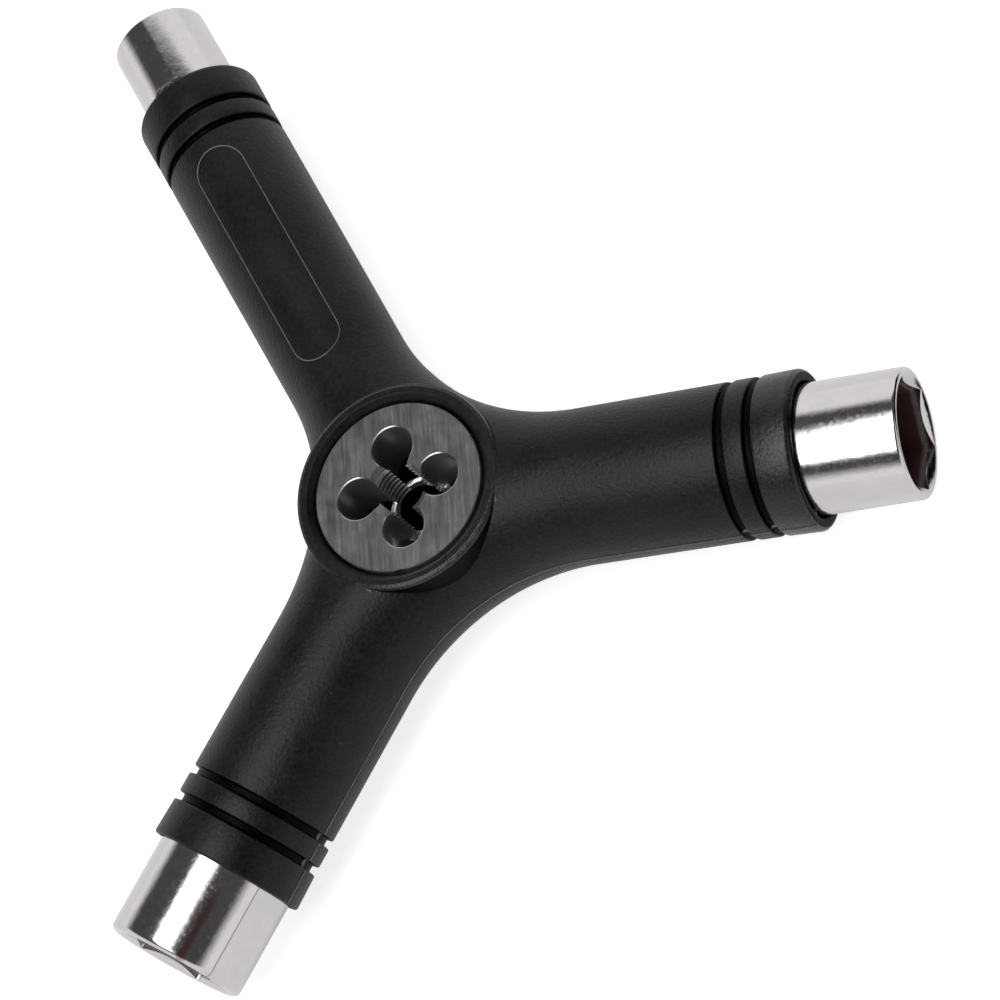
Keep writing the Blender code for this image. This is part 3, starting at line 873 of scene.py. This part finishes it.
def chrome(arm, stain_and_painted_line):
    """Polished plating with pits and waves, a dark brown inside that is not metallic, and on one socket a
    stain and a painted reflection line.
    """
    material, inputs, n = shader(arm.name + "_plating")
    spot = n.coordinate()
    wave = n.noise(spot, scale=420, detail=3, roughness=0.55)
    fine = n.noise(spot, scale=1500, detail=5, roughness=0.75)
    grit = n.noise(spot, scale=3600, detail=3, roughness=0.65)
    x, y, z = n.from_hub()
    (ux, uy, _), (vx, vy, _) = axes(arm)
    station = n.weighted((x, ux), (y, uy))
    across = n.weighted((x, vx), (y, vy))
    corner = arm.across_flats / 2 / math.cos(math.pi / 6)
    edge, depth = INSIDE_EDGE, INSIDE_DEPTH
    # Dark brown and not metallic inside the hexagon, from 0.8 mm below the end and full from 2 mm
    inside = n.times(
        n.step(n.length(across, z), corner + edge[0], corner + edge[1]),
        n.step(station, arm.reach - depth[0], arm.reach - depth[1]),
    )
    colour = n.ramp(wave, (0.35, CHROME_TINTS[0]), (0.65, CHROME_TINTS[1]))
    if stain_and_painted_line:
        angle = n.times(n.calc("ARCTAN2", z, across), 180 / math.pi)
        ragged = n.times(n.minus(fine, 0.5), STAIN_RAGGEDNESS)
        off = n.calc("ABSOLUTE", n.plus(n.minus(angle, STAIN_ANGLE), ragged))
        streak = n.times(n.step(off, *STAIN_WIDTH), n.step(station, *STAIN_START))
        colour = n.blend(streak, colour, STAIN_COLOUR)
        # A thin grey-brown line at a fixed angle round the socket: a painted reflection line
        painted_line = n.times(n.step(n.away(angle, REFLECTION_LINE_ANGLE), *REFLECTION_LINE_WIDTH), REFLECTION_LINE_STRENGTH)
        colour = n.blend(painted_line, colour, REFLECTION_LINE_COLOUR)
    n.link(n.blend(inside, colour, INSIDE_COLOUR), inputs["Base Color"])
    n.link(n.minus(1.0, inside), inputs["Metallic"])
    pits = n.weighted((fine, 0.5), (grit, 0.5))
    rough = n.ramp(pits, (0.40, 0.06), (0.52, 0.12), (0.64, 0.27))
    n.link(n.blend_numbers(inside, rough, INSIDE_ROUGHNESS), inputs["Roughness"])
    height = n.weighted((wave, 1.0), (fine, 0.42), (grit, 0.13))
    n.bump(inputs, height, strength=0.5, distance=0.00004)
    return material


# Ground steel
GRINDING_TURN = -4
GRINDING_STRETCH = 18
FACE_NORMAL = (0.45, 0.95)
WALL_COLOUR = (0.17, 0.165, 0.165)
WALL_ROUGHNESS = 0.42
WALL_METALLIC = 0.45
EDGE_HIGHLIGHT_COLOUR = (0.34, 0.335, 0.33)
EDGE_NORMAL = ((0.85, 0.88), (0.96, 0.93))
EDGE_HEIGHT = (10.38, 10.41)
EDGE_DISTANCE = (4.70, 4.80)
BAND_COLOUR = (0.85, 0.84, 0.83)
BAND_ROUGHNESS = 0.24
BAND_REACH = (5.25, 5.15)
BAND_TOP = (2.05, 1.95)


def steel():
    """Ground faces with streaks, smoother cut walls, chip-hole top edges made lighter as a painted
    highlight, and the bright band.
    """
    material, inputs, n = shader("ground_steel")
    spot = n.coordinate()
    level = n.mapped(spot, Rotation=(0, 0, math.radians(GRINDING_TURN)))
    stretched = n.mapped(level, Scale=(GRINDING_STRETCH, 1, 1))
    streak = n.noise(stretched, scale=130, detail=6, roughness=0.68)
    blot = n.noise(spot, scale=310, detail=4, roughness=0.6)
    marks = n.weighted((streak, 0.62), (blot, 0.38))
    facing_up = n.split(n.add("ShaderNodeNewGeometry").outputs["True Normal"])[2]
    face = n.step(n.calc("ABSOLUTE", facing_up), *FACE_NORMAL)
    x, y, z = n.from_hub()
    distance = n.length(x, y)
    band = n.times(n.step(distance, *BAND_REACH), n.step(z, *BAND_TOP))
    # Painted highlight: the chip holes' top edges are lighter, fully metallic and smoother
    edge = n.times(n.step(z, *EDGE_HEIGHT), n.step(distance, *EDGE_DISTANCE))
    edge = n.times(n.window(facing_up, *EDGE_NORMAL), edge)
    bright = n.calc("MAXIMUM", band, edge)
    paint = n.blend(face, WALL_COLOUR, n.ramp(marks, (0.34, 0.15), (0.52, 0.215), (0.68, 0.31)))
    paint = n.blend(edge, paint, EDGE_HIGHLIGHT_COLOUR)
    n.link(n.blend(band, paint, BAND_COLOUR), inputs["Base Color"])
    metallic = n.plus(n.times(face, 1.0 - WALL_METALLIC), WALL_METALLIC)
    n.link(n.calc("MAXIMUM", metallic, bright), inputs["Metallic"])
    sheen = n.blend_numbers(face, WALL_ROUGHNESS, n.ramp(marks, (0.34, 0.30), (0.68, 0.44)))
    n.link(n.blend_numbers(bright, sheen, BAND_ROUGHNESS), inputs["Roughness"])
    n.bump(inputs, marks, strength=0.4, distance=0.00003)
    return material


# Which faces of the moulding are plain, have painted shade or have a painted highlight
PLAIN, PAINTED_SHADE, PAINTED_HIGHLIGHT = range(3)
ON_SURFACE = 0.05
UPRIGHT = 0.05
EDGE_ZONE_WIDTH = 0.75
EDGE_ZONE_HEIGHT = 1.0
EDGE_ZONE_TILT = 0.97
GROOVE_ZONE_DEPTH = 0.15
END_FACING = 0.9
MOUTH_ZONE_MARGIN = 0.2


def painted_light_of(centre, normal):
    """The material of a face: painted shade in the hollows (the grooves and the ring's side under its rim)
    and on the collars' ends and mouths, and a painted highlight, lighter and glossier, on the right collar
    and the ring's edge.
    """
    x, y, z = (centre - HUB) / MM
    out = math.hypot(x, y)
    # The ring's side below its rim gets painted shade
    if abs(out - HUB_RADIUS) < ON_SURFACE and z > 0 and abs(normal.z) < UPRIGHT:
        return PAINTED_SHADE
    # The ring's rounded top edge gets a painted highlight
    in_edge_zone = HUB_RADIUS - EDGE_ZONE_WIDTH < out < HUB_RADIUS
    if in_edge_zone and z > HUB_HALF_HEIGHT - EDGE_ZONE_HEIGHT and normal.z < EDGE_ZONE_TILT:
        return PAINTED_HIGHLIGHT
    for arm in ARMS:
        u, v = axes(arm)
        station = u[0] * x + u[1] * y
        off_axis = math.hypot(v[0] * x + v[1] * y, z)
        # The grooves get painted shade
        by_grooves = arm.length < station < collar_start(arm)
        if by_grooves and off_axis < arm.barrel - GROOVE_ZONE_DEPTH:
            return PAINTED_SHADE
        # The collar's end and its mouth get painted shade
        faces_out = normal.x * u[0] + normal.y * u[1] > END_FACING
        in_mouth = off_axis < arm.socket_radius + FIT_GAP + MOUTH_ZONE_MARGIN
        if station > collar_start(arm) and (faces_out or in_mouth):
            return PAINTED_SHADE
    # The right arm's collar gets a painted highlight
    return PAINTED_HIGHLIGHT if x > collar_start(RIGHT_ARM) else PLAIN


# Pieces
handle_verts, handle_faces, parting_edges = moulding()
# The mould lines are coloured much lighter than the moulding: a painted highlight along them
finish_piece(
    mould_lines(parting_edges), "moulded_black_plastic", [],
    plastic("mould_line_highlight_plastic", dark=0.070, light=0.120, specular=0.60),
)
handle = build("handle_moulding", handle_verts, handle_faces)
finish_piece(
    handle, "moulded_black_plastic", ["handle_body"],
    plastic("moulded_plastic"),
    # Painted shade: darker and less glossy than the plain moulding
    plastic("painted_shade_plastic", dark=0.0004, light=0.0012, specular=0.04),
    # Painted highlight: lighter and glossier than the plain moulding
    plastic("painted_highlight_plastic", dark=0.0016, light=0.0120, specular=0.43, rough=(0.25, 0.34)),
)
for face in handle.data.polygons:
    face.material_index = painted_light_of(face.center, face.normal)
for arm in ARMS:
    finish_piece(socket(arm), arm.name + "_chrome", [arm.name + "_socket"], chrome(arm, arm is LOWER_ARM))
finish_piece(die(), "ground_steel", ["threading_die"], steel())

# Floor
FLOOR_HALF_WIDTH = 3.0  # metres
FLOOR_COLOUR = 0.5
FLOOR_GLOW = 0.40
FLOOR_GLOW_SEEN = 0.42  # more glow, for the camera only
HUB_SHADE = (11.6, 12.2)
DARK_REFLECTION_CORNER = (73.0, -3.0, 0.0)
DARK_REFLECTION_TURN = ((0.16, 0.24), (1.16, 1.08))
DARK_REFLECTION_START = (0.0066, 0.0074)  # metres


def floor():
    """A pale floor that glows, with a painted shadow under the hub and a painted dark patch that only
    reflections see.
    """
    mesh = bpy.data.meshes.new("floor")
    s = FLOOR_HALF_WIDTH
    mesh.from_pydata([(-s, -s, 0), (s, -s, 0), (s, s, 0), (-s, s, 0)], [], [(0, 1, 2, 3)])
    obj = bpy.data.objects.new("floor", mesh)
    bpy.context.scene.collection.objects.link(obj)
    material, inputs, n = shader("floor")
    inputs["Roughness"].default_value = 1.0
    inputs["Specular IOR Level"].default_value = 0.0
    inputs["Emission Color"].default_value = (1, 1, 1, 1)
    # A dark patch painted on the floor beyond the right socket, seen only by reflections: a painted dark
    # reflection
    rays = n.add("ShaderNodeLightPath")
    spot = n.split(n.coordinate())
    corner = place(DARK_REFLECTION_CORNER)
    x = n.minus(spot[0], corner.x)
    y = n.minus(spot[1], corner.y)
    card = n.window(n.calc("ARCTAN2", y, x), *DARK_REFLECTION_TURN)
    card = n.times(card, n.step(x, *DARK_REFLECTION_START))
    card = n.times(card, rays.outputs["Is Glossy Ray"])
    # Painted shadow: the floor is dark under the hub, where it shows through the die's holes
    hub_x, hub_y, _ = n.from_hub()
    unpainted_floor = n.times(n.step(n.length(hub_x, hub_y), *HUB_SHADE), n.minus(1.0, card))
    n.link(n.times(unpainted_floor, FLOOR_COLOUR), inputs["Base Color"])
    glow = n.plus(n.times(rays.outputs["Is Camera Ray"], FLOOR_GLOW_SEEN), FLOOR_GLOW)
    n.link(n.times(unpainted_floor, glow), inputs["Emission Strength"])
    mesh.materials.append(material)


# Light tent. A soft edge is given as the value where it is 0 and the value where it is 1.
HORIZON = 0.02
LAMP_ALONG = (-0.42, -0.906)
LAMP_ACROSS = (-0.906, 0.42)
LAMP_ENDS = ((-0.45, -0.20), (1.45, 0.95))
LAMP_SIDES = ((-0.45, -0.15), (0.41, 0.235))
LAMP_FALLOFF = 3.0
LAMP_STRENGTH = 5.0
WALL_HEIGHT = 0.30
WALL_SOFTNESS = 0.12
WALL_LEVEL = 0.93
CEILING_LEVEL = 0.07
HIGH_WALL_TURN = 104
HIGH_WALL_SIDE = (0.55, 0.75)
HIGH_WALL_END = (0.42, 0.30)
HIGH_WALL_RISE = 0.422
HIGH_WALL_BEND = (0.08, 0.28)  # how the top edge rises along the wall, then falls again
HIGH_WALL_SHARPER = 0.065
DARK_CARD_TURN = 32
DARK_CARD_SIDE = (0.93, 0.955)
DARK_CARD_TOP = (0.55, 0.45)


def world():
    """Bright walls, a dark ceiling and a white lamp overhead that leans to one side."""
    made = bpy.data.worlds.new("tent")
    bpy.context.scene.world = made
    made.use_nodes = True
    background = made.node_tree.nodes["Background"].inputs
    n = Nodes(made.node_tree)
    x, y, z = n.split(n.coordinate("Generated"))
    height = n.calc("MAXIMUM", z, HORIZON)
    over_x, over_y = n.calc("DIVIDE", x, height), n.calc("DIVIDE", y, height)
    along = n.weighted((over_x, LAMP_ALONG[0]), (over_y, LAMP_ALONG[1]))
    across = n.weighted((over_x, LAMP_ACROSS[0]), (over_y, LAMP_ACROSS[1]))
    lamp = n.times(n.window(along, *LAMP_ENDS), n.window(across, *LAMP_SIDES))
    lamp = n.calc("POWER", lamp, LAMP_FALLOFF)
    # The walls are low all round, and higher on the side of the upper arm
    flat = n.length(x, y)
    turn = math.radians(HIGH_WALL_TURN)
    side = n.calc("DIVIDE", n.weighted((x, math.cos(turn)), (y, math.sin(turn))), flat)
    slope = n.calc("DIVIDE", n.weighted((y, math.cos(turn)), (x, -math.sin(turn))), flat)
    raised = n.times(n.step(side, *HIGH_WALL_SIDE), n.step(slope, *HIGH_WALL_END))
    bend = n.times(slope, n.minus(HIGH_WALL_BEND[0], n.times(slope, HIGH_WALL_BEND[1])))
    edge = n.plus(n.times(raised, n.plus(bend, HIGH_WALL_RISE)), WALL_HEIGHT)
    soft = n.minus(WALL_SOFTNESS, n.times(raised, HIGH_WALL_SHARPER))
    below = n.calc("DIVIDE", n.minus(edge, z), n.times(soft, 2.0))
    wall = n.plus(below, 0.5, clamp=True)
    # A dark card stands on the right
    turn = math.radians(DARK_CARD_TURN)
    card_side = n.calc("DIVIDE", n.weighted((x, math.cos(turn)), (y, math.sin(turn))), flat)
    card = n.times(n.step(card_side, *DARK_CARD_SIDE), n.step(z, *DARK_CARD_TOP))
    wall = n.times(wall, n.minus(1.0, card))
    level = n.plus(n.times(wall, WALL_LEVEL - CEILING_LEVEL), CEILING_LEVEL)
    level = n.plus(level, n.times(lamp, LAMP_STRENGTH))
    # The camera sees the background as white
    seen = n.add("ShaderNodeLightPath").outputs["Is Camera Ray"]
    n.link(n.plus(n.times(level, n.minus(1.0, seen)), seen), background["Strength"])
    background["Color"].default_value = (1, 1, 1, 1)


# Camera, at the photograph's place and angle
CAMERA_PLACE = (269.289, -266.416, 603.322)
CAMERA_RIGHT = (0.919160, -0.001477, -0.393881)
CAMERA_UP = (0.149455, 0.926518, 0.345294)
CAMERA_BACK = (0.364428, -0.376248, 0.851839)
LENS = 180
SENSOR_WIDTH = 36
CLIP_START = 0.01  # metres
CLIP_END = 20  # metres


def camera():
    data = bpy.data.cameras.new("camera")
    data.lens = LENS
    data.sensor_width = SENSOR_WIDTH
    data.clip_start = CLIP_START
    data.clip_end = CLIP_END
    obj = bpy.data.objects.new("camera", data)
    bpy.context.scene.collection.objects.link(obj)
    turn = Matrix((CAMERA_RIGHT, CAMERA_UP, CAMERA_BACK)).transposed().to_4x4()
    obj.matrix_world = Matrix.Translation(place(CAMERA_PLACE)) @ turn
    bpy.context.scene.camera = obj


floor()
world()
camera()
bpy.context.scene.view_settings.view_transform = "Standard"
